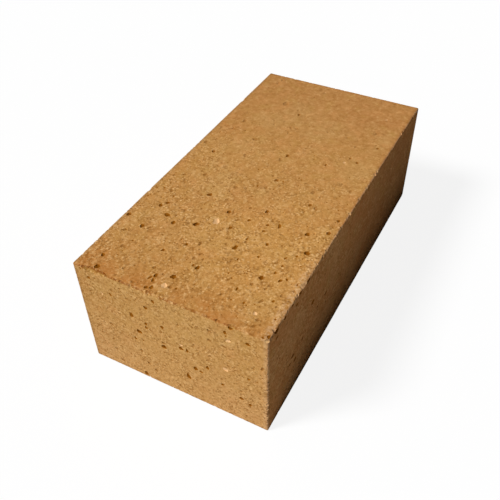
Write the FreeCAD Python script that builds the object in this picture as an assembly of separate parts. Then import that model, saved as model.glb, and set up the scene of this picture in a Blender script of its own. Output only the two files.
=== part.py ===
import FreeCAD, Part

import os

# A straight refractory firebrick: fireclay and crushed grog, pressed and fired as one piece.
# Millimetres. It lies on its lower bed. X runs along its length, Y across its width and Z up,
# and the origin is the middle of the lower bed. Its ends are the headers and its long sides the
# stretchers.

# The nine inch straight, three inches thick
LENGTH = 230.0
WIDTH = 114.0
THICKNESS = 76.0

# The mould gives sharp arrises, which firing and handling wear to a small round
ARRIS_RADIUS = 0.9

# The arrises that have lost flakes. Each is given by its two corners, as their sides of the brick
# along X, Y and Z. A flake is given by how far its middle lies from the first corner, or from the
# second one where that is negative, then by how long and how deep it is on the sharp arris.
CHIPPED_ARRISES = (
    # Near header, upper arris, from the back stretcher to the front one
    ((-1, 1, 1), (-1, -1, 1), (
        (14.5, 21.0, 1.7),
        (37.0, 5.0, 0.8),
        (46.5, 7.5, 1.1),
        (59.0, 11.0, 1.0),
        (-20.0, 6.5, 1.1),
    )),
    # Front stretcher, upper arris, from the near header to the far one
    ((-1, -1, 1), (1, -1, 1), (
        (7.5, 5.5, 1.1),
        (32.0, 5.0, 0.9),
        (41.0, 10.0, 1.1),
        (63.0, 6.0, 0.8),
        (117.0, 5.5, 0.9),
    )),
    # Back stretcher, upper arris, from the near header to the far one
    ((-1, 1, 1), (1, 1, 1), (
        (70.0, 6.0, 0.8),
        (-44.0, 8.0, 1.0),
    )),
    # Far header, upper arris, from the back stretcher to the front one
    ((1, 1, 1), (1, -1, 1), (
        (34.0, 7.0, 1.0),
    )),
    # Back stretcher, lower arris, from the near header to the far one
    ((-1, 1, -1), (1, 1, -1), (
        (-86.0, 9.0, 1.2),
    )),
    # The upright arris between the near header and the front stretcher, from its top
    ((-1, -1, 1), (-1, -1, -1), (
        (24.0, 5.5, 0.8),
    )),
    # The upright arris between the far header and the back stretcher, from its top
    ((1, 1, 1), (1, 1, -1), (
        (29.0, 6.5, 1.0),
    )),
)

# The corners that are knocked off: their sides of the brick, then how wide and how deep
KNOCKED_CORNERS = (
    ((-1, -1, 1), (7.0, 1.3)),
    ((1, -1, -1), (8.0, 1.4)),
)


def corner(sides):
    """A sharp corner of the brick, from its sides along X, Y and Z."""
    along, across, up = sides
    return FreeCAD.Vector(along * LENGTH / 2, across * WIDTH / 2, (1 + up) * THICKNESS / 2)


def dish(middle, outward, long, deep):
    """The ball that leaves a dished hollow, so long and so deep, where a sharp edge was."""
    radius = ((long / 2) ** 2 + deep ** 2) / (2 * deep)
    return Part.makeSphere(radius, middle + outward.normalize() * (radius - deep))


def arris_dishes(first, second, flakes):
    """The balls for the flakes of one arris, all facing outward half way between its two faces."""
    start = corner(first)
    run = corner(second) - start
    balls = []
    for distance, long, deep in flakes:
        from_start = distance if distance > 0 else run.Length + distance
        outward = FreeCAD.Vector(first) + FreeCAD.Vector(second)
        balls.append(dish(start + run * (from_start / run.Length), outward, long, deep))
    return balls


def firebrick():
    """The pressed block, its arrises eased, then its flakes and corners knocked off."""
    block = Part.makeBox(LENGTH, WIDTH, THICKNESS, corner((-1, -1, -1)))
    eased = block.makeFillet(ARRIS_RADIUS, block.Edges)
    hollows = []
    for first, second, flakes in CHIPPED_ARRISES:
        hollows += arris_dishes(first, second, flakes)
    for sides, (wide, deep) in KNOCKED_CORNERS:
        hollows.append(dish(corner(sides), FreeCAD.Vector(sides), wide, deep))
    return eased.cut(hollows)


os.makedirs("parts", exist_ok=True)
firebrick().exportStep("parts/firebrick.step")
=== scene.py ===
import math
import random

import bmesh
import bpy
from mathutils import Matrix, Vector, noise


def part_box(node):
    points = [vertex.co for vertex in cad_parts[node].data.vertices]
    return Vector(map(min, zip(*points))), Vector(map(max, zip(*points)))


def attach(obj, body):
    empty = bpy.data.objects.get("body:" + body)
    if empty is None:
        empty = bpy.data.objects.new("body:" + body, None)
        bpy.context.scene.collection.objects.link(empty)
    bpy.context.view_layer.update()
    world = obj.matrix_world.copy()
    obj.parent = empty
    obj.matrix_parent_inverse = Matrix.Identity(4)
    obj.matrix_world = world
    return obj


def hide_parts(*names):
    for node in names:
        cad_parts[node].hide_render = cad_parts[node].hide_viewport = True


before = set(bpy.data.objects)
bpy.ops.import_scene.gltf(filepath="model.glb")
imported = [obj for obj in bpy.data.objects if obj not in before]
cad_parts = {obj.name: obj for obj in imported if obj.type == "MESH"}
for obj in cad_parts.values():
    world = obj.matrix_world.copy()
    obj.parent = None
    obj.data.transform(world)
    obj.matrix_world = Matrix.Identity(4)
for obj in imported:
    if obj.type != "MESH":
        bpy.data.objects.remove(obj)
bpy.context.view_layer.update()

# Viewpoint. The photograph looks down on the brick's near corner from the front left, 43 cm away,
# through a normal lens that is held one degree off level.
VIEW_PLACE = Vector((-0.2791, -0.1381, 0.3034))
VIEW_TURN = math.radians(-61.3)
VIEW_TILT = math.radians(42.93)
VIEW_ROLL = math.radians(-1.14)
VIEW_LENS = 45.73
VIEW_NEAREST = 0.01

camera = bpy.data.cameras.new("viewpoint")
camera.lens = VIEW_LENS
camera.clip_start = VIEW_NEAREST
viewpoint = bpy.data.objects.new("viewpoint", camera)
viewpoint.matrix_world = (Matrix.Translation(VIEW_PLACE)
                          @ Matrix.Rotation(VIEW_TURN, 4, "Z")
                          @ Matrix.Rotation(math.pi / 2 - VIEW_TILT, 4, "X")
                          @ Matrix.Rotation(VIEW_ROLL, 4, "Z"))
scene = bpy.context.scene
scene.collection.objects.link(viewpoint)
scene.camera = viewpoint
scene.view_settings.view_transform = "Standard"


# Floor and light. A plain pale floor runs out to a white background. One soft lamp from the left
# and behind lights the top and the near header alike, and leaves the front stretcher in shade.
class Shade:
    """One output in a node tree. Arithmetic on it adds Math nodes and gives a new output."""

    def __init__(self, tree, socket=None):
        self.tree = tree
        self.socket = socket

    def node(self, kind, settings=(), sockets=(), output=None):
        """Adds a node of a kind, sets it up, feeds its sockets and gives one of its outputs."""
        made = self.tree.nodes.new(kind)
        for name, value in dict(settings).items():
            setattr(made, name, value)
        for name, value in dict(sockets).items():
            socket = next(s for s in made.inputs if s.identifier == name)
            if isinstance(value, Shade):
                self.tree.links.new(value.socket, socket)
            else:
                socket.default_value = value
        found = [s for s in made.outputs if output in (None, s.identifier)]
        return Shade(self.tree, found[0] if found else None)

    def beside(self, name):
        """Another output of the node that gives this one."""
        return Shade(self.tree, self.socket.node.outputs[name])

    def plain(self, colour):
        """One colour all over."""
        made = self.node("ShaderNodeRGB")
        made.socket.default_value = colour
        return made

    def math(self, operation, *others):
        names = ("Value", "Value_001", "Value_002")
        values = dict(zip(names, (self, *others)))
        return self.node("ShaderNodeMath", {"operation": operation}, values)

    def __add__(self, other):
        return self.math("ADD", other)

    def __radd__(self, other):
        return self.math("ADD", other)

    def __sub__(self, other):
        return self.math("SUBTRACT", other)

    def __rsub__(self, other):
        return self.math("MULTIPLY_ADD", -1.0, other)

    def __mul__(self, other):
        return self.math("MULTIPLY", other)

    def __rmul__(self, other):
        return self.math("MULTIPLY", other)

    def between(self, start, end):
        """0 where this is at or short of start, 1 from end on, with a soft step between them."""
        return self.node("ShaderNodeMapRange", {"interpolation_type": "SMOOTHSTEP"},
                         {"Value": self, "From Min": start, "From Max": end})

    def mixed(self, other, share, way="MIX"):
        """This colour with a share of another one laid over it."""
        return self.node("ShaderNodeMix", {"data_type": "RGBA", "blend_type": way},
                         {"Factor_Float": share, "A_Color": self, "B_Color": other},
                         "Result_Color")


def emptied(owner):
    """The node tree of a new material or room, with nothing in it yet."""
    owner.use_nodes = True
    owner.node_tree.nodes.clear()
    return Shade(owner.node_tree)


FLOOR_REACH = 4.0
FLOOR_DROP = 0.0002
FLOOR_BOUNCE = (0.60, 0.60, 0.60, 1.0)
FLOOR_SEEN = (0.94, 0.94, 0.94, 1.0)
FLOOR_GLOW = 0.88
WHITE = (1.0, 1.0, 1.0, 1.0)

slab = bmesh.new()
bmesh.ops.create_grid(slab, x_segments=1, y_segments=1, size=FLOOR_REACH,
                      matrix=Matrix.Translation((0, 0, -FLOOR_DROP)))
floor_mesh = bpy.data.meshes.new("floor")
slab.to_mesh(floor_mesh)
slab.free()
floor = bpy.data.objects.new("floor", floor_mesh)
scene.collection.objects.link(floor)

floor_paint = bpy.data.materials.new("pale_floor")
floor_tree = emptied(floor_paint)
floor_seen = floor_tree.node("ShaderNodeLightPath", output="Is Camera Ray")
matt_floor = floor_tree.node("ShaderNodeBsdfDiffuse", (),
                             {"Color": floor_tree.plain(FLOOR_BOUNCE).mixed(FLOOR_SEEN, floor_seen)})
white_floor = floor_tree.node("ShaderNodeEmission", (), {"Color": WHITE, "Strength": 1.0})
both = floor_tree.node("ShaderNodeMixShader", (),
                       {"Fac": floor_seen * FLOOR_GLOW, "Shader": matt_floor,
                        "Shader_001": white_floor})
floor_tree.node("ShaderNodeOutputMaterial", (), {"Surface": both})
floor_mesh.materials.append(floor_paint)

# What the lamp gives a face that looks along X, Y and Z, as a share of full light, and what the
# rest of the room gives from every side
KEY_LIGHT = Vector((-0.675, 0.64, 0.97))
KEY_SPREAD = math.radians(16)
ROOM_LIGHT = 0.027

lamp = bpy.data.lights.new("window", "SUN")
lamp.energy = math.pi * KEY_LIGHT.length
lamp.angle = KEY_SPREAD
window = bpy.data.objects.new("window", lamp)
window.matrix_world = KEY_LIGHT.to_track_quat("Z", "Y").to_matrix().to_4x4()
scene.collection.objects.link(window)

room = bpy.data.worlds.new("room")
room_tree = emptied(room)
room_seen = room_tree.node("ShaderNodeLightPath", output="Is Camera Ray")
room_light = room_tree.node("ShaderNodeBackground", (),
                            {"Color": WHITE,
                             "Strength": room_seen * (1 - ROOM_LIGHT) + ROOM_LIGHT})
room_tree.node("ShaderNodeOutputWorld", (), {"Surface": room_light})
scene.world = room


# The pressed block. Fireclay and crushed grog are pressed in a steel mould and fired. Its faces
# come out nearly flat, a little wavy, and its arrises with a small round.
MM = 0.001
ARRIS_RADIUS = 0.9 * MM
ARRIS_STEPS = 3
NET = 3.0 * MM
WAVE_DEPTH = 0.16 * MM
WAVE_LENGTH = 24.0 * MM
low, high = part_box("firebrick")

block = bmesh.new()
bmesh.ops.create_cube(block, size=1.0,
                      matrix=Matrix.LocRotScale((low + high) / 2, None, high - low))
bmesh.ops.bevel(block, geom=block.edges[:], offset=ARRIS_RADIUS, segments=ARRIS_STEPS,
                profile=0.5, affect="EDGES", material=-1)
for axis in range(3):
    strips = round((high[axis] - low[axis]) / NET)
    for strip in range(1, strips):
        crossing = low.copy()
        crossing[axis] += (high[axis] - low[axis]) * strip / strips
        bmesh.ops.bisect_plane(block, geom=block.verts[:] + block.edges[:] + block.faces[:],
                               plane_co=crossing, plane_no=Matrix.Identity(3)[axis])
block.normal_update()
for point in block.verts:
    wave = (1 + noise.noise(point.co / WAVE_LENGTH)) / 2
    point.co -= point.normal * WAVE_DEPTH * wave

firebrick_mesh = bpy.data.meshes.new("firebrick_clay")
block.to_mesh(firebrick_mesh)
block.free()
firebrick = bpy.data.objects.new("firebrick_clay", firebrick_mesh)
scene.collection.objects.link(firebrick)


# Fireclay. The fired body is ochre with faint orange and straw drifts, packed with pale grog and
# browner sand. The kiln's draught has reddened the near end of the upper bed and scorched its
# arris, whose dark dashes are partly painted shadow. A mark on each face says whether the mould made
# it, or a hollow of one of four kinds.
MARKS = range(5)
CLAY, PIT, FAINT_PIT, FLAKE, GROG = MARKS
HALF_A_MARK = 0.5


def paint(red, green, blue):
    """A colour written as a screen shows it, from 0 to 255, as the light that it sends back."""
    def linear(level):
        part = level / 255
        return part / 12.92 if part <= 0.04045 else ((part + 0.055) / 1.055) ** 2.4
    return (linear(red), linear(green), linear(blue), 1.0)


OCHRE = paint(190, 138, 76)
ORANGE = paint(187, 128, 69)
STRAW = paint(194, 149, 88)
PINK = paint(206, 146, 88)
OLIVE = paint(182, 139, 72)
BROWN = paint(166, 114, 68)
UMBER_SHADE = paint(120, 74, 38)
STRETCHER_SHADE_TINT = (1.0, 0.87, 1.0, 1.0)
AMBER = paint(184, 126, 60)
HONEY = paint(206, 150, 78)
HONEY_SPOT = (-62.0, -30.0, 76.0)
RUST = paint(182, 118, 58)
CREAM = paint(204, 156, 108)
DULL_BROWN = paint(140, 108, 66)
FRESH_BREAK = paint(220, 178, 132)
SCORCH_AND_SHADOW = paint(128, 64, 10)
ARRIS_PAINTED_SHADE = (0.84, 0.82, 0.80, 1.0)
SCUFF = paint(142, 104, 66)
PALE_SAND = paint(232, 188, 128)
DARK_SAND = paint(140, 90, 34)
PALE_GROG = paint(234, 186, 132)
PIT_RIM = paint(154, 96, 26)
PIT_FLOOR = paint(124, 72, 14)

# Patterns are measured in millimetres, and the outlines of grains wander a little.
TO_MILLIMETRES = 1000.0
LUMPINESS = 0.55
CROOK_SIZE = 0.7
CROOK_REACH = (1.1, 1.1, 1.1)
# The part of a grain that has its full colour, and of the grains that show, how many have it
GRAIN_CORE = 0.45
FULL_GRAINS = 0.4
GRIT_EDGE = 0.4
FULL_GRIT = 0.6

fireclay = bpy.data.materials.new("fired_fireclay")
clay = emptied(fireclay)
metres = clay.node("ShaderNodeTexCoord", output="Object")
here = metres.node("ShaderNodeVectorMath", {"operation": "SCALE"},
                   {"Vector": metres, "Scale": TO_MILLIMETRES})


def moved(point, shift):
    """Where a pattern is read, shifted so that two patterns of one kind aren't alike."""
    return point.node("ShaderNodeVectorMath", {"operation": "ADD"},
                      {"Vector": point, "Vector_001": shift})


def cloud(size, detail=2.0, shift=(0.0, 0.0, 0.0), output="Fac"):
    """Soft noise whose lumps are about size millimetres wide, from 0 to 1."""
    return here.node("ShaderNodeTexNoise", {"noise_dimensions": "3D"},
                     {"Vector": moved(here, shift), "Scale": 1 / size, "Detail": detail,
                      "Roughness": LUMPINESS}, output)


crooked = here.node("ShaderNodeVectorMath", {"operation": "MULTIPLY_ADD"},
                    {"Vector": cloud(CROOK_SIZE, 3.0, output="Color"),
                     "Vector_001": CROOK_REACH, "Vector_002": here})


def away_from_grain(size, shift, feature="F1"):
    """How far a point is from the middle or the edge of its grain, with one grain a size."""
    return crooked.node("ShaderNodeTexVoronoi", {"feature": feature},
                        {"Vector": moved(crooked, (shift, 0.0, shift)), "Scale": 1 / size},
                        "Distance")


def chance(grain, channel="Red"):
    """A number from 0 to 1 that is the same all over one grain."""
    colour = grain.beside("Color")
    return colour.node("ShaderNodeSeparateColor", (), {"Color": colour}, channel)


def scattered(size, share, wide, shift):
    """Crooked grains, one in each size millimetres: a share of them shows, wide of its room."""
    away = away_from_grain(size, shift)
    shows = chance(away).between(1 - share, 1 - share * FULL_GRAINS)
    return away.between(wide, wide * GRAIN_CORE) * shows


def crushed(size, share, gap, shift):
    """Angular grains that fill their room up to a gap: a share of them shows."""
    shows = chance(away_from_grain(size, shift)).between(1 - share, 1 - share * FULL_GRIT)
    return away_from_grain(size, shift, "DISTANCE_TO_EDGE").between(gap * GRIT_EDGE, gap) * shows


def distance_to(spot):
    """How far a point is from a spot of the brick."""
    return here.node("ShaderNodeVectorMath", {"operation": "DISTANCE"},
                     {"Vector": here, "Vector_001": spot}, "Value")


# How far a point lies below each pair of faces. The least of the three is its depth, and the
# middle one its distance from the nearest arris.
split = here.node("ShaderNodeSeparateXYZ", (), {"Vector": here})
x, y, z = (split.beside(axis) for axis in "XYZ")
half_size = (high - low) / MM / 2
below_ends = half_size.x - x.math("ABSOLUTE")
below_sides = half_size.y - y.math("ABSOLUTE")
below_beds = half_size.z - (z - half_size.z).math("ABSOLUTE")
depth = below_ends.math("MINIMUM", below_sides).math("MINIMUM", below_beds)
deepest = below_ends.math("MAXIMUM", below_sides).math("MAXIMUM", below_beds)
from_arris = below_ends + below_sides + below_beds - depth - deepest
below_top = 2 * half_size.z - z
from_near_end = x + half_size.x
from_front = y + half_size.y
from_near_arris = from_near_end.math("MAXIMUM", below_top)
from_back_corner = distance_to((-half_size.x, half_size.y, 2 * half_size.z))
from_front_corner = distance_to((-half_size.x, -half_size.y, 2 * half_size.z))
from_honey_spot = distance_to(HONEY_SPOT)

# How deep a face's own colour reaches: where it fades out, and from where on it is full
FACE_EDGE = (1.1, 0.5)
FACE_SKIN = (1.6, 0.6)
on_top = below_top.between(2.0, 1.0)
on_front = from_front.between(1.5, 0.6)
bed = below_top.between(*FACE_EDGE)
near_header = from_near_end.between(*FACE_EDGE)

made_by_mark = clay.node("ShaderNodeAttribute", {"attribute_name": "made_by"}, (), "Fac")
is_pit = made_by_mark.math("COMPARE", PIT, HALF_A_MARK)
is_faint_pit = made_by_mark.math("COMPARE", FAINT_PIT, HALF_A_MARK)
is_flake = made_by_mark.math("COMPARE", FLAKE, HALF_A_MARK)
is_grog = made_by_mark.math("COMPARE", GROG, HALF_A_MARK)

# The colours are laid on one over the other, each where it belongs and with its own share, which ends
# its line. The body has broad drifts. The headers are more straw. The stretchers carry a painted shade
# tint, redder and less green. The far end is browner, partly as painted shade, and the far part of the
# front stretcher is painted darker in umber, as painted shade.
body = clay.plain(OCHRE)
body = body.mixed(ORANGE, cloud(46).between(0.44, 0.70) * 0.7)
body = body.mixed(STRAW, cloud(34, shift=(90.0, 0.0, 0.0)).between(0.46, 0.70) * 0.8)
body = body.mixed(STRAW, below_ends.between(*FACE_SKIN) * 0.5)
# Painted shade tint, redder and less green, on both stretchers
body = body.mixed(STRETCHER_SHADE_TINT, below_sides.between(*FACE_SKIN), "MULTIPLY")
# Browner towards the far end, partly painted shade; the far front stretcher gets painted shade in umber
body = body.mixed(BROWN, x.between(-20.0, 120.0) * 0.5)
body = body.mixed(UMBER_SHADE, x.between(-20.0, 80.0) * from_front.between(2.0, 1.0) * 0.25)
hue = cloud(9.0, 1.0, (0.0, 40.0, 40.0))
body = body.mixed(PINK, hue.between(0.50, 0.75) * 0.36)
body = body.mixed(OLIVE, hue.between(0.50, 0.25) * 0.32)

# The upper bed is amber and rust at its near end, least of all towards the front and most at the
# back corner, with a honey patch in its front half. The near header is creamy low down and straw
# in the middle, with some dust towards the back. The other arrises are faintly rusty.
drift = cloud(13, shift=(0.0, 60.0, 0.0)).between(0.26, 0.62)
amber_share = y.between(-57, -30) * 0.25 + 0.10
body = body.mixed(AMBER, from_near_end.between(40.0, 4.0) * bed * amber_share)
body = body.mixed(HONEY, from_honey_spot.between(60.0, 12.0) * bed * 0.45)
reddened = from_near_end.between(20.0, 2.0) * drift * bed * (y.between(-57, -20) * 0.55 + 0.2)
body = body.mixed(RUST, reddened)
body = body.mixed(RUST, from_back_corner.between(30.0, 4.0) * bed * 0.5)
body = body.mixed(DULL_BROWN, near_header * y.between(0.0, 50.0) * 0.10)
body = body.mixed(CREAM, near_header * z.between(56.0, 4.0) * 0.35)
body = body.mixed(STRAW, near_header * y.math("ABSOLUTE").between(48.0, 4.0) * 0.55)
body = body.mixed(RUST, from_arris.between(6.0, 0.5) * drift * (1 - near_header) * 0.3)

# Where an arris is worn, the break shows paler clay. The front upper arris is paler some way into the
# bed at its near end, and so is the upright one below it, both less on the stretcher.
# The two arrises of the back stretcher that show are dusty.
LESS_ON_STRETCHER = 3.0
worn = from_arris.between(1.3, 0.4) * cloud(7, shift=(20.0, 20.0, 0.0)).between(0.36, 0.56)
front_upper = from_front.math("MAXIMUM", below_top * LESS_ON_STRETCHER)
# Paler along the front upper arris near its near end, and along the upright arris below it
pale_front_upper = front_upper.between(5.4, 3.4) * x.between(-35, -75)
pale_front_upper *= cloud(1.8, 4.0, (0.0, 0.0, 70.0)).between(0.43, 0.55)
front_upright = from_front.math("MAXIMUM", from_near_end * LESS_ON_STRETCHER)
pale_front_upright = front_upright.between(3.6, 1.8) * 0.6
pale_front_upright *= cloud(3.0, shift=(0.0, 0.0, 50.0)).between(0.32, 0.50)
broken = worn.math("MAXIMUM", is_flake).math("MAXIMUM", pale_front_upper)
unscorched = from_near_arris.between(2.5, 5.0).math("MAXIMUM", y.between(-51, -54))
body = body.mixed(FRESH_BREAK, (broken * unscorched).math("MAXIMUM", pale_front_upright)
                  * (0.6 - 0.3 * x.between(-30, 60)))
# Darker along the two arrises of the back stretcher that show
back_edge = (half_size.y - y).math("MAXIMUM", below_top.math("MINIMUM", from_near_end))
body = body.mixed(DULL_BROWN, back_edge.between(3.0, 0.8) * 0.6)

# The near upper arris was scorched instead. Its flakes show the header's duller clay. Their rims and
# the sharp parts between them carry broken dark dashes, partly scorch and partly painted shadow of
# the nicks, most of all towards the back, and rust has spilt from it down the header, a few
# millimetres far. Its round and its flakes face the lamp and are painted a shade darker. The front
# corner is only scuffed.
clear_of_corner = 1 - y.between(-49, -52)
near_arris_flake = is_flake * from_near_arris.between(5.0, 2.5) * clear_of_corner
body = body.mixed(OLIVE, near_arris_flake * 0.75)
spill_reach = cloud(6.0, 2.0, (0.0, 30.0, 0.0)) * 9.0 - 3.4
spilt = (spill_reach - below_top).between(0.0, 1.2) * near_header * clear_of_corner
body = body.mixed(RUST, spilt * 0.55)
gaps = cloud(3.6)
rim = near_arris_flake * below_top.between(1.3, 0.5) * gaps.between(0.34, 0.44)
dashes = from_near_arris.between(1.0, 0.5) * (1 - is_flake) * gaps.between(0.45, 0.53)
scorch_and_shadow_dashes = rim.math("MAXIMUM", dashes) * (y.between(-50, 40) * 0.35 + 0.55)
# Dark dashes: partly scorch, partly painted shadow of the nicks and flake rims
body = body.mixed(SCORCH_AND_SHADOW, scorch_and_shadow_dashes * clear_of_corner)
# Painted shade dims the arris round and its flakes, which face the lamp
slanting = from_near_arris.between(1.4, 0.6).math("MAXIMUM", near_arris_flake)
body = body.mixed(ARRIS_PAINTED_SHADE, slanting, "MULTIPLY")
body = body.mixed(SCUFF, from_front_corner.between(6.5, 2.0) * (0.3 + 0.4 * is_flake))

# The clay is rough where the sand stands out of it. The far part of the upper bed came out
# smoother, the reddened end calmer, and the shaded stretcher shows less of it.
smooth_part = x.between(-76, 98) * on_top * 0.81
sandy = 1 - smooth_part
patches = cloud(5.0, 1.0, (30.0, 0.0, 20.0))
body = body.mixed(PALE_SAND, patches.between(0.52, 0.80) * (0.10 - 0.03 * on_top))
body = body.mixed(DARK_SAND, patches.between(0.48, 0.20) * (0.13 - 0.03 * on_top))
rough = cloud(13.0, 1.0, (50.0, 50.0, 0.0)).between(0.36, 0.62) * 0.5 + 0.7
far_front = on_front * x.between(-60, 40)
crumbly = sandy * rough * (0.97 + 0.18 * on_top - 0.12 * on_front - 0.30 * far_front)
calm = 1 - 0.45 * reddened
crumbly *= calm
dusty = sandy * sandy * calm
gritty = crumbly + is_flake

# The sand, from the fine matrix through grit, crumbs and specks to dust, each pale and dark
matrix = cloud(1.6, 4.0, (11.0, 5.0, 0.0))
body = body.mixed(PALE_SAND, matrix.between(0.50, 0.76) * crumbly * 0.52)
body = body.mixed(DARK_SAND, matrix.between(0.50, 0.28) * crumbly * 0.36)
pale_grit = crushed(size=3.1, share=0.22, gap=0.16, shift=40.0)
body = body.mixed(PALE_SAND, pale_grit * gritty * 0.24)
dark_grit = crushed(size=2.7, share=0.20, gap=0.16, shift=120.0)
body = body.mixed(DARK_SAND, dark_grit * gritty * 0.18)
from_crumb = away_from_grain(size=1.4, shift=0.0)
crumb_top = from_crumb.between(0.62, 0.12)
crumb_shows = chance(from_crumb, "Green").between(0.40, 1.0)
crumbed = crumbly * cloud(3.6, 1.0, (0.0, 0.0, 33.0)).between(0.40, 0.62)
body = body.mixed(PALE_SAND, crumb_top * crumb_shows * crumbed * (0.50 - 0.25 * reddened))
body = body.mixed(DARK_SAND, from_crumb.between(0.44, 0.68) * crumbed * 0.45)
pale_specks = scattered(size=1.8, share=0.36, wide=0.42, shift=0.0)
body = body.mixed(PALE_SAND, pale_specks * crumbly * (0.58 - 0.3 * reddened))
dark_specks = scattered(size=1.9, share=0.36, wide=0.42, shift=80.0)
body = body.mixed(DARK_SAND, dark_specks * crumbly * 0.48)
pale_dust = scattered(size=0.9, share=0.40, wide=0.50, shift=200.0)
body = body.mixed(PALE_SAND, pale_dust * dusty * (0.36 - 0.2 * on_front - 0.2 * reddened))
dark_dust = scattered(size=0.8, share=0.36, wide=0.50, shift=160.0)
body = body.mixed(DARK_SAND, dark_dust * dusty * 0.22)
blotches = cloud(3.0, 1.0, (0.0, 0.0, 90.0))
body = body.mixed(DARK_SAND, blotches.between(0.50, 0.30) * on_top * (0.06 + 0.26 * smooth_part))
body = body.mixed(PALE_SAND, blotches.between(0.54, 0.74) * on_top * (0.06 + 0.14 * smooth_part))

# Grog shows pale. A pit's wall is painted dark brown and darkens towards its floor: partly slag,
# partly painted shade of a deep hollow. All are fainter where the bed is smooth.
body = body.mixed(PALE_GROG, is_grog * (0.88 - 0.6 * smooth_part))
body = body.mixed(DARK_SAND, is_faint_pit * (0.70 - 0.45 * smooth_part))
# Painted shade and slag: the pit walls darken with depth
pit_slag_and_shade = clay.plain(PIT_RIM).mixed(PIT_FLOOR, depth.between(0.0, 0.5))
body = body.mixed(pit_slag_and_shade, is_pit * (1 - 0.35 * smooth_part))

# Fired clay is matt. Its sand stands out by a few tenths of a millimetre.
RELIEF_HEIGHT = 0.4 * MM
RELIEF_STRENGTH = 0.5
MATT = 0.86
fine = cloud(0.6, 3.0)
break_crumb = cloud(1.7, 2.0, (7.0, 0.0, 0.0)) * is_flake
relief = fine * 0.4 + matrix * 0.9 + crumb_top * crumbed * 0.35 - dark_specks * 0.5
relief += break_crumb * 2.4
bump = clay.node("ShaderNodeBump", (),
                 {"Strength": RELIEF_STRENGTH, "Distance": RELIEF_HEIGHT,
                  "Height": relief * crumbly})
surface = clay.node("ShaderNodeBsdfPrincipled", (),
                    {"Base Color": body, "Roughness": MATT + 0.12 * fine, "Normal": bump,
                     "Specular IOR Level": 0.0})
clay.node("ShaderNodeOutputMaterial", (), {"Surface": surface})
for mark in MARKS:
    firebrick_mesh.materials.append(fireclay)


# Hollows. Every chip, pit and grain in the surface is cut with a rough lump, which stands for the
# stone or the bubble that left it. The lumps of one kind are gathered in one mesh and cut at once.
COARSE_CRUMB = 2.4 * MM
FINE_CRUMB = 1.0 * MM
FINE_CRUMB_SHARE = 0.6
BULGE = 0.4
BULGES_ROUND = 1.3
ANY_SHIFT = (0, 90)


def add_lump(lumps, middle, outward, turn, half_sizes, fineness, crumble, shift):
    """Adds a rough ball, stretched to half_sizes along, across and outward at its place."""
    ball = bmesh.new()
    bmesh.ops.create_icosphere(ball, subdivisions=fineness, radius=1.0)
    facing = outward.to_track_quat("Z", "Y").to_matrix() @ Matrix.Rotation(turn, 3, "Z")
    own_noise = Vector((shift, shift / 3, 0))
    for point in ball.verts:
        bulging = 1 + BULGE * noise.noise(point.co * BULGES_ROUND + own_noise)
        reach = Vector(half_sizes) * bulging
        point.co = middle + facing @ Vector(part * far for part, far in zip(point.co, reach))
    ball.normal_update()
    for point in ball.verts:
        lumpy = noise.noise(point.co / COARSE_CRUMB + own_noise)
        lumpy += FINE_CRUMB_SHARE * noise.noise(point.co / FINE_CRUMB + own_noise)
        point.co += point.normal * crumble * lumpy
    carrier = bpy.data.meshes.new("lump")
    ball.to_mesh(carrier)
    ball.free()
    lumps.from_mesh(carrier)
    bpy.data.meshes.remove(carrier)


def cut_lumps(lumps, mark):
    """Cuts the lumps out of the brick and gives the new faces their mark."""
    for face in lumps.faces:
        face.material_index = mark
    mesh = bpy.data.meshes.new("lumps")
    lumps.to_mesh(mesh)
    lumps.free()
    cutter = bpy.data.objects.new("lumps", mesh)
    scene.collection.objects.link(cutter)
    cut = firebrick.modifiers.new("hollows", "BOOLEAN")
    cut.operation = "DIFFERENCE"
    cut.solver = "MANIFOLD"
    cut.object = cutter
    bpy.context.view_layer.update()
    seen = firebrick.evaluated_get(bpy.context.evaluated_depsgraph_get())
    firebrick.data = bpy.data.meshes.new_from_object(seen)
    firebrick.modifiers.clear()
    bpy.data.objects.remove(cutter)


def turn_along(outward, along):
    """How far a lump that faces outward has to be turned to lie along a direction."""
    facing = outward.to_track_quat("Z", "Y").to_matrix()
    return math.atan2(facing.col[1].dot(along), facing.col[0].dot(along))


# Flakes. Firing, stacking and handling knock thin flakes off the arrises and corners. The larger
# ones are those of the solid brick, and small nibs of every size lie between them.

# A flake's numbers are its distance from the first corner, or from the second where negative, its
# length and its depth, in millimetres. A corner is named by its sides along X, Y and Z.
CHIPPED_ARRISES = (
    ((-1, 1, 1), (-1, -1, 1), ((14.5, 21.0, 1.7), (37.0, 5.0, 0.8), (46.5, 7.5, 1.1),
                               (59.0, 11.0, 1.0), (-20.0, 6.5, 1.1))),
    ((-1, -1, 1), (1, -1, 1), ((7.5, 5.5, 1.1), (32.0, 5.0, 0.9), (41.0, 10.0, 1.1),
                               (63.0, 6.0, 0.8), (117.0, 5.5, 0.9))),
    ((-1, 1, 1), (1, 1, 1), ((70.0, 6.0, 0.8), (-44.0, 8.0, 1.0))),
    ((1, 1, 1), (1, -1, 1), ((34.0, 7.0, 1.0),)),
    ((-1, 1, -1), (1, 1, -1), ((-86.0, 9.0, 1.2),)),
    ((-1, -1, 1), (-1, -1, -1), ((24.0, 5.5, 0.8),)),
    ((1, 1, 1), (1, 1, -1), ((29.0, 6.5, 1.0),)),
    ((-1, -1, -1), (1, -1, -1), ()),
    ((1, 1, -1), (1, -1, -1), ()),
    ((-1, 1, -1), (-1, -1, -1), ()),
    ((-1, 1, 1), (-1, 1, -1), ()),
    ((1, -1, 1), (1, -1, -1), ()),
)
# Those of the front upper arris lean towards the bed, and bit more out of it
LEANS = {((-1, -1, 1), (1, -1, 1)): Vector((0.0, 0.0, 1.6))}
# A knocked corner's numbers are the radius of its hollow and its depth
KNOCKED_CORNERS = (((-1, -1, 1), 4.6, 0.9), ((1, -1, -1), 6.4, 1.4))
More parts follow.
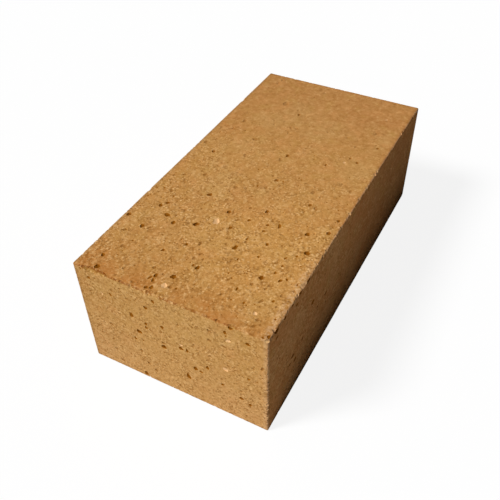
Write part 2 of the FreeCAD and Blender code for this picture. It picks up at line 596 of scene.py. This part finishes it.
# Nibs, in millimetres, and how far they keep from the corners
NIB_LENGTHS = (0.9, 3.6)
NIB_DEPTHS = (0.42, 0.85)
NIB_GAP = 0.9
NIBS_FROM_CORNER = 6 * MM
NIB_FINENESS = 3
FLAKE_FINENESS = 4
CORNER_FINENESS = 5
# A lump's half height for the depth of its flake, its half width for its half height, and how far
# its wall crumbles for that depth
FLAKE_LUMP = 2.0
FLAKE_WIDTH = 1.8
FLAKE_CRUMBLE = 0.4
CORNER_CRUMBLE = 0.8

chooser = random.Random(57)
flakes = bmesh.new()


def sharp_corner(sides):
    return Vector(high[i] if side > 0 else low[i] for i, side in enumerate(sides))


def add_flake(middle, outward, along, long, deep, fineness):
    """Adds the lump of one flake, whose length lies along the arris."""
    lump = FLAKE_LUMP * deep
    add_lump(flakes, middle + outward * (lump - deep), outward, turn_along(outward, along),
             (long / 2, FLAKE_WIDTH * lump, lump), fineness, FLAKE_CRUMBLE * deep,
             chooser.uniform(*ANY_SHIFT))


for first, second, known in CHIPPED_ARRISES:
    arris_start = sharp_corner(first)
    arris = sharp_corner(second) - arris_start
    along = arris.normalized()
    outward = (Vector(first) + Vector(second) + LEANS.get((first, second), Vector())).normalized()
    taken = []
    for distance, long, deep in known:
        reached = distance * MM if distance > 0 else arris.length + distance * MM
        add_flake(arris_start + along * reached, outward, along, long * MM, deep * MM,
                  FLAKE_FINENESS)
        taken.append((reached, long * MM / 2))
    reached = NIBS_FROM_CORNER
    while reached < arris.length - NIBS_FROM_CORNER:
        long = chooser.uniform(*NIB_LENGTHS) * MM
        deep = chooser.uniform(*NIB_DEPTHS) * MM
        if all(abs(reached - other) > half + long for other, half in taken):
            add_flake(arris_start + along * reached, outward, along, long, deep, NIB_FINENESS)
        reached += long + chooser.expovariate(1 / NIB_GAP) * MM
for sides, radius, deep in KNOCKED_CORNERS:
    outward = Vector(sides).normalized()
    add_lump(flakes, sharp_corner(sides) + outward * (radius - deep) * MM, outward, 0,
             (radius * MM,) * 3, CORNER_FINENESS, CORNER_CRUMBLE * deep * MM,
             chooser.uniform(*ANY_SHIFT))
cut_lumps(flakes, FLAKE)


# Pits. Air and burnt-out grit leave pits, whose walls are painted dark: partly slag, partly painted
# shade. The larger ones lie where the photograph shows them; fine ones, and those of the hidden
# faces, are strewn over the rest.

# A face is named by the corner at its upper left, seen from outside, and by its run to the right
# and down
FACES = {
    "top": ((-1, 1, 1), Vector((1, 0, 0)), Vector((0, -1, 0))),
    "near_header": ((-1, 1, 1), Vector((0, -1, 0)), Vector((0, 0, -1))),
    "front": ((-1, -1, 1), Vector((1, 0, 0)), Vector((0, 0, -1))),
    "far_header": ((1, -1, 1), Vector((0, 1, 0)), Vector((0, 0, -1))),
    "back": ((1, 1, 1), Vector((-1, 0, 0)), Vector((0, 0, -1))),
    "bottom": ((-1, -1, -1), Vector((1, 0, 0)), Vector((0, 1, 0))),
}

# A hollow's numbers are its place to the right and down, then its width and height, in millimetres
DEEP_PITS = {
    "top": (
        (3.8, 13.3, 3.5, 2.9), (12.1, 10.7, 2.5, 2.1), (40.6, 15.5, 3.3, 2.7), (45.8, 3.2, 2.9, 2.5),
        (60.5, 14.8, 2.7, 2.2), (64.1, 16.9, 2.1, 2.1), (54.8, 22.8, 2.9, 3.7), (50.8, 29.2, 3.1, 2.3),
        (29.7, 37.0, 1.9, 2.3), (81.7, 34.7, 3.3, 2.5), (55.2, 41.5, 4.1, 2.5), (9.4, 42.2, 2.9, 1.5),
        (4.0, 46.9, 2.6, 1.6), (8.8, 44.6, 3.0, 1.5), (3.0, 44.3, 1.8, 2.0), (39.3, 45.5, 2.5, 1.6),
        (15.2, 52.5, 3.3, 2.9), (72.8, 52.5, 3.1, 2.5), (9.0, 58.3, 2.1, 1.5), (26.5, 60.0, 2.9, 1.9),
        (61.2, 59.8, 2.1, 1.7), (48.7, 69.7, 3.7, 2.3), (82.7, 71.5, 2.7, 2.1), (71.6, 66.0, 2.3, 1.8),
        (111.3, 63.3, 2.1, 2.9), (58.3, 83.7, 2.1, 1.9), (47.8, 84.0, 1.7, 1.5), (74.4, 83.2, 3.9, 1.7),
        (22.5, 85.1, 2.3, 1.3), (34.8, 92.2, 2.3, 2.7), (99.0, 90.7, 2.5, 2.1), (75.4, 99.5, 2.9, 2.7),
        (37.4, 101.7, 2.1, 1.6), (39.6, 104.4, 1.7, 1.4), (23.4, 104.7, 1.7, 1.5), (53.2, 97.0, 2.1, 1.3),
        (61.7, 105.2, 3.3, 3.3), (81.3, 109.3, 2.7, 2.5), (93.2, 110.3, 1.9, 1.7), (120.8, 14.3, 2.4, 2.0),
        (137.3, 58.1, 2.7, 1.9), (184.7, 44.3, 2.5, 1.8), (149.5, 99.5, 2.0, 2.0), (152.0, 94.3, 1.9, 1.6),
        (139.1, 83.2, 2.4, 1.4), (170.2, 105.5, 2.3, 1.8), (27.0, 57.0, 1.7, 1.3), (41.4, 75.3, 1.8, 1.4),
        (66.9, 77.2, 2.0, 1.5), (72.4, 77.0, 1.7, 1.4), (41.3, 97.0, 1.8, 1.3), (47.3, 98.2, 1.6, 1.2),
        (16.0, 92.6, 1.4, 1.3), (30.3, 76.0, 1.5, 1.2), (38.5, 110.5, 1.8, 1.3), (57.3, 72.1, 1.5, 1.2),
        (57.2, 101.6, 1.9, 1.2), (11.8, 44.1, 2.8, 1.7), (2.6, 112.9, 2.2, 1.8), (0.9, 110.6, 1.8, 1.5),
    ),
    "near_header": (
        (33.6, 23.3, 2.5, 4.1), (36.5, 35.2, 3.3, 2.9), (52.2, 39.7, 3.1, 3.1), (42.3, 26.0, 2.0, 2.2),
        (42.1, 29.2, 1.9, 2.3), (52.8, 23.3, 2.2, 2.5), (63.2, 34.5, 2.5, 2.7), (67.0, 34.3, 1.9, 2.9),
        (78.8, 41.3, 2.1, 3.1), (71.2, 46.7, 2.6, 2.7), (74.5, 47.6, 2.5, 1.6), (66.0, 56.7, 2.7, 3.9),
        (87.3, 50.5, 1.7, 2.1), (98.4, 55.7, 2.7, 2.3), (103.3, 58.3, 2.1, 2.1), (103.0, 35.8, 1.9, 2.1),
        (90.8, 6.4, 1.9, 2.9), (103.2, 8.4, 2.5, 2.3), (49.6, 5.4, 1.9, 2.7), (44.0, 12.7, 2.3, 2.1),
        (21.8, 13.8, 1.7, 2.1), (9.3, 6.9, 2.1, 1.9), (33.2, 42.8, 1.9, 2.3), (35.7, 72.8, 2.7, 3.1),
        (93.7, 1.2, 3.0, 2.6), (91.0, 8.9, 1.2, 1.8), (51.6, 27.0, 1.3, 2.6), (4.8, 2.1, 1.7, 1.3),
    ),
    "front": (
        (53.3, 25.0, 4.0, 2.6), (72.2, 36.3, 4.0, 2.3), (28.7, 43.7, 3.6, 2.2), (25.6, 47.4, 3.0, 2.2),
        (32.4, 50.2, 3.2, 2.3), (41.3, 42.5, 3.2, 2.1), (61.0, 36.0, 3.4, 2.0), (8.3, 1.3, 4.8, 3.4),
        (9.3, 6.9, 3.2, 2.2), (18.0, 1.6, 3.8, 2.2), (26.0, 1.1, 3.0, 1.8), (31.5, 5.6, 3.4, 1.9),
        (35.2, 0.8, 3.0, 2.4), (44.5, 1.0, 4.0, 2.6),
    ),
}
FAINT_PITS = {
    "top": (
        (22.5, 15.5, 2.2, 1.4), (74.6, 13.0, 2.2, 1.6), (91.8, 10.8, 2.0, 1.6), (102.0, 60.7, 2.2, 1.6),
        (110.3, 87.3, 2.4, 1.8), (97.4, 94.5, 2.2, 1.8), (97.2, 22.3, 2.0, 1.8), (94.3, 44.7, 2.2, 1.6),
        (127.9, 4.7, 3.2, 1.8), (147.6, 4.9, 3.0, 1.8), (161.5, 14.8, 3.2, 2.0), (125.9, 34.2, 3.0, 1.4),
        (145.1, 31.3, 3.0, 2.4), (194.3, 29.8, 4.4, 3.0), (131.7, 55.7, 3.0, 1.8), (186.3, 99.3, 2.4, 1.6),
        (223.5, 13.3, 3.0, 2.4), (120.5, 106.5, 3.6, 1.0), (34.0, 9.0, 1.8, 1.2), (41.0, 20.0, 2.4, 1.0),
        (16.5, 40.2, 1.4, 1.4), (14.5, 47.0, 1.6, 1.4), (9.0, 26.5, 1.6, 1.2), (26.5, 31.0, 1.8, 1.0),
        (8.5, 55.0, 2.0, 1.4), (31.5, 54.8, 2.0, 1.4), (36.3, 56.2, 2.0, 1.2), (43.0, 51.7, 2.6, 1.2),
        (5.5, 103.5, 1.8, 1.4), (9.6, 103.4, 1.6, 1.4), (28.5, 106.8, 1.4, 1.2),
        (33.8, 110.8, 1.6, 1.2), (20.8, 99.6, 2.6, 1.2), (31.5, 98.3, 1.6, 1.2), (29.0, 97.6, 1.4, 1.0),
    ),
    "near_header": (
        (81.4, 10.3, 1.6, 1.8), (81.3, 17.5, 1.6, 1.6), (90.0, 17.7, 2.4, 1.6), (17.0, 61.4, 2.0, 1.6),
        (39.2, 61.3, 1.6, 2.2), (43.8, 65.3, 1.2, 2.4), (17.8, 39.5, 2.4, 1.4), (20.0, 70.5, 3.0, 2.0),
    ),
}
PALE_GRAINS = {
    "top": ((8.0, 51.8, 3.0, 2.6), (62.5, 50.3, 4.2, 3.2), (12.2, 100.5, 1.8, 1.6),
            (146.5, 92.5, 1.8, 1.4), (205.0, 99.3, 2.2, 1.6)),
    "near_header": ((15.5, 15.4, 1.6, 2.4), (89.7, 35.9, 3.0, 1.6), (92.3, 11.8, 2.4, 2.0),
                    (63.3, 31.5, 2.2, 1.4)),
}
# For a hollow that shows, how much wider its lump is all round than the patch that was measured,
# and how deep it is for its half width
TOP_PIT = (0.11, 0.40)
SIDE_PIT = (0.08, 0.30)
SHOWN_FAINT_PIT = (0.34, 0.24)
SHOWN_GRAIN = (0.30, 0.22)
# A lump's half height for the depth of its hollow, how far it may turn, and how far its wall
# crumbles for its half width, and at most for its depth. Wider ones are made finer.
SPOT_LUMP = 1.35
SPOT_TURN = 0.3
SPOT_CRUMBLE = 0.18
MOST_CRUMBLE = 0.5
MIDDLE_MOUTH = 0.62
LARGE_MOUTH = 0.9

pits = bmesh.new()
faint_pits = bmesh.new()
grog = bmesh.new()
taken_spots = {name: [] for name in FACES}


def add_spot(lumps, name, right, down, half_wide, half_high, share_deep):
    """Adds the lump of a pit or grain whose mouth has these half sizes, so deep for its size."""
    upper_left, rightward, downward = FACES[name]
    outward = downward.cross(rightward)
    mouth = min(half_wide, half_high)
    deep = share_deep * mouth
    lump = SPOT_LUMP * deep
    lift = lump - deep
    spread = 1 / math.sqrt(1 - (lift / lump) ** 2)
    middle = sharp_corner(upper_left) + (rightward * right + downward * down + outward * lift) * MM
    turn = turn_along(outward, rightward) + chooser.uniform(-SPOT_TURN, SPOT_TURN)
    fineness = 3 if mouth > LARGE_MOUTH else 2 if mouth > MIDDLE_MOUTH else 1
    half_sizes = (half_wide * spread * MM, half_high * spread * MM, lump * MM)
    add_lump(lumps, middle, outward, turn, half_sizes, fineness,
             min(SPOT_CRUMBLE * mouth, MOST_CRUMBLE * deep) * MM, chooser.uniform(*ANY_SHIFT))
    taken_spots[name].append((right, down, max(half_wide, half_high)))


# What is strewn over a face: its lumps, one for how many square millimetres, their half widths,
# their depth for that, and the part of the face's run that they lie on. The near part of the
# upper bed is pitted most. Nothing is known of the hidden faces, which get larger pits too.
WHOLE_FACE = (0.0, 1.0)
FINE_PIT_HALF = (0.30, 0.66)
ON_ALL_FACES = (
    (grog, 520.0, (0.35, 0.8), 0.18, WHOLE_FACE),
    (faint_pits, 70.0, (0.4, 1.1), 0.30, WHOLE_FACE),
)
ON_HIDDEN_FACES = ((pits, 420.0, (0.9, 1.7), 0.45, WHOLE_FACE),)
FINE_PITS = {
    "top": (
        (pits, 240.0, (0.55, 0.90), 0.40, (0.22, 0.55)),
        (pits, 14.0, FINE_PIT_HALF, 0.40, (0.0, 0.05)),
        (pits, 17.0, (0.32, 0.70), 0.40, (0.05, 0.53)),
        (pits, 30.0, FINE_PIT_HALF, 0.40, (0.53, 0.66)),
        (faint_pits, 80.0, (0.5, 1.1), 0.16, (0.42, 1.0)),
    ),
    "near_header": ((pits, 75.0, FINE_PIT_HALF, 0.45, WHOLE_FACE),),
}
OTHER_FINE_PITS = ((pits, 50.0, FINE_PIT_HALF, 0.45, WHOLE_FACE),)
FACE_MARGIN = 2.4
CLEARANCE = 0.35
SLIMNESS = (0.5, 1.0)
MOSTLY_SMALL = 1.7


def strew(name, lumps, area_each, halves, share_deep, reach):
    """Strews lumps at random over the part of a face within reach, clear of those there."""
    _, rightward, downward = FACES[name]
    wide = abs(rightward.dot(high - low)) / MM
    tall = abs(downward.dot(high - low)) / MM
    leftmost = max(wide * reach[0], FACE_MARGIN)
    rightmost = min(wide * reach[1], wide - FACE_MARGIN)
    for attempt in range(round((rightmost - leftmost) * tall / area_each)):
        half = halves[0] + (halves[1] - halves[0]) * chooser.random() ** MOSTLY_SMALL
        right = chooser.uniform(leftmost, rightmost)
        down = chooser.uniform(FACE_MARGIN, tall - FACE_MARGIN)
        slim = chooser.uniform(*SLIMNESS)
        if all(math.hypot(right - other_right, down - other_down) > half + size + CLEARANCE
               for other_right, other_down, size in taken_spots[name]):
            add_spot(lumps, name, right, down, half, half * slim, share_deep)


for name in FACES:
    for lumps, shown, (ease, share_deep) in (
            (pits, DEEP_PITS, TOP_PIT if name == "top" else SIDE_PIT),
            (faint_pits, FAINT_PITS, SHOWN_FAINT_PIT),
            (grog, PALE_GRAINS, SHOWN_GRAIN)):
        for right, down, wide, tall in shown.get(name, ()):
            add_spot(lumps, name, right, down, wide / 2 + ease, tall / 2 + ease, share_deep)
    larger_pits = () if name in DEEP_PITS else ON_HIDDEN_FACES
    for layer in larger_pits + ON_ALL_FACES + FINE_PITS.get(name, OTHER_FINE_PITS):
        strew(name, *layer)
cut_lumps(grog, GROG)
cut_lumps(faint_pits, FAINT_PIT)
cut_lumps(pits, PIT)


# The finished surface. Each face keeps the mark of what made it, for the clay's colours. The mould
# leaves it smooth, and only the lips of hollows and the breaks are sharp.
SHARP_FROM = math.radians(35)
clay_mesh = firebrick.data
made_by = clay_mesh.attributes.new("made_by", "FLOAT", "FACE")
for face in clay_mesh.polygons:
    made_by.data[face.index].value = face.material_index
    face.material_index = 0
while len(clay_mesh.materials) > 1:
    clay_mesh.materials.pop()
clay_mesh.shade_smooth()
clay_mesh.set_sharp_from_angle(angle=SHARP_FROM)

# The six faces are laid out flat on one sheet. Each is given by its place on the sheet, in
# millimetres, and whether it is turned on its side there.
SHEET = (308.0, 386.0)
LAYOUT = {"top": (0.0, 0.0, False), "near_header": (232.0, 0.0, True),
          "bottom": (0.0, 116.0, False), "far_header": (232.0, 116.0, True),
          "front": (0.0, 232.0, False), "back": (0.0, 310.0, False)}
SINK_COST = 0.5

sheet_sides = []
for name, on_sheet in LAYOUT.items():
    upper_left, rightward, downward = FACES[name]
    sheet_sides.append((sharp_corner(upper_left), downward.cross(rightward), rightward, downward,
                        *on_sheet))


def suits(face, side):
    """How well a small face belongs to a side: turned as it is, and not sunk far below it."""
    upper_left, outward = side[:2]
    return face.normal.dot(outward) + SINK_COST * (face.center - upper_left).dot(outward) / MM


sheet_map = clay_mesh.uv_layers.new(name="OFBake")
for face in clay_mesh.polygons:
    upper_left, outward, rightward, downward, right_at, down_at, turned = max(
        sheet_sides, key=lambda side: suits(face, side))
    for loop in face.loop_indices:
        inward = clay_mesh.vertices[clay_mesh.loops[loop].vertex_index].co - upper_left
        right, down = inward.dot(rightward) / MM, inward.dot(downward) / MM
        if turned:
            right, down = down, right
        sheet_map.data[loop].uv = ((right_at + right) / SHEET[0], 1 - (down_at + down) / SHEET[1])


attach(firebrick, "root")
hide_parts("firebrick")
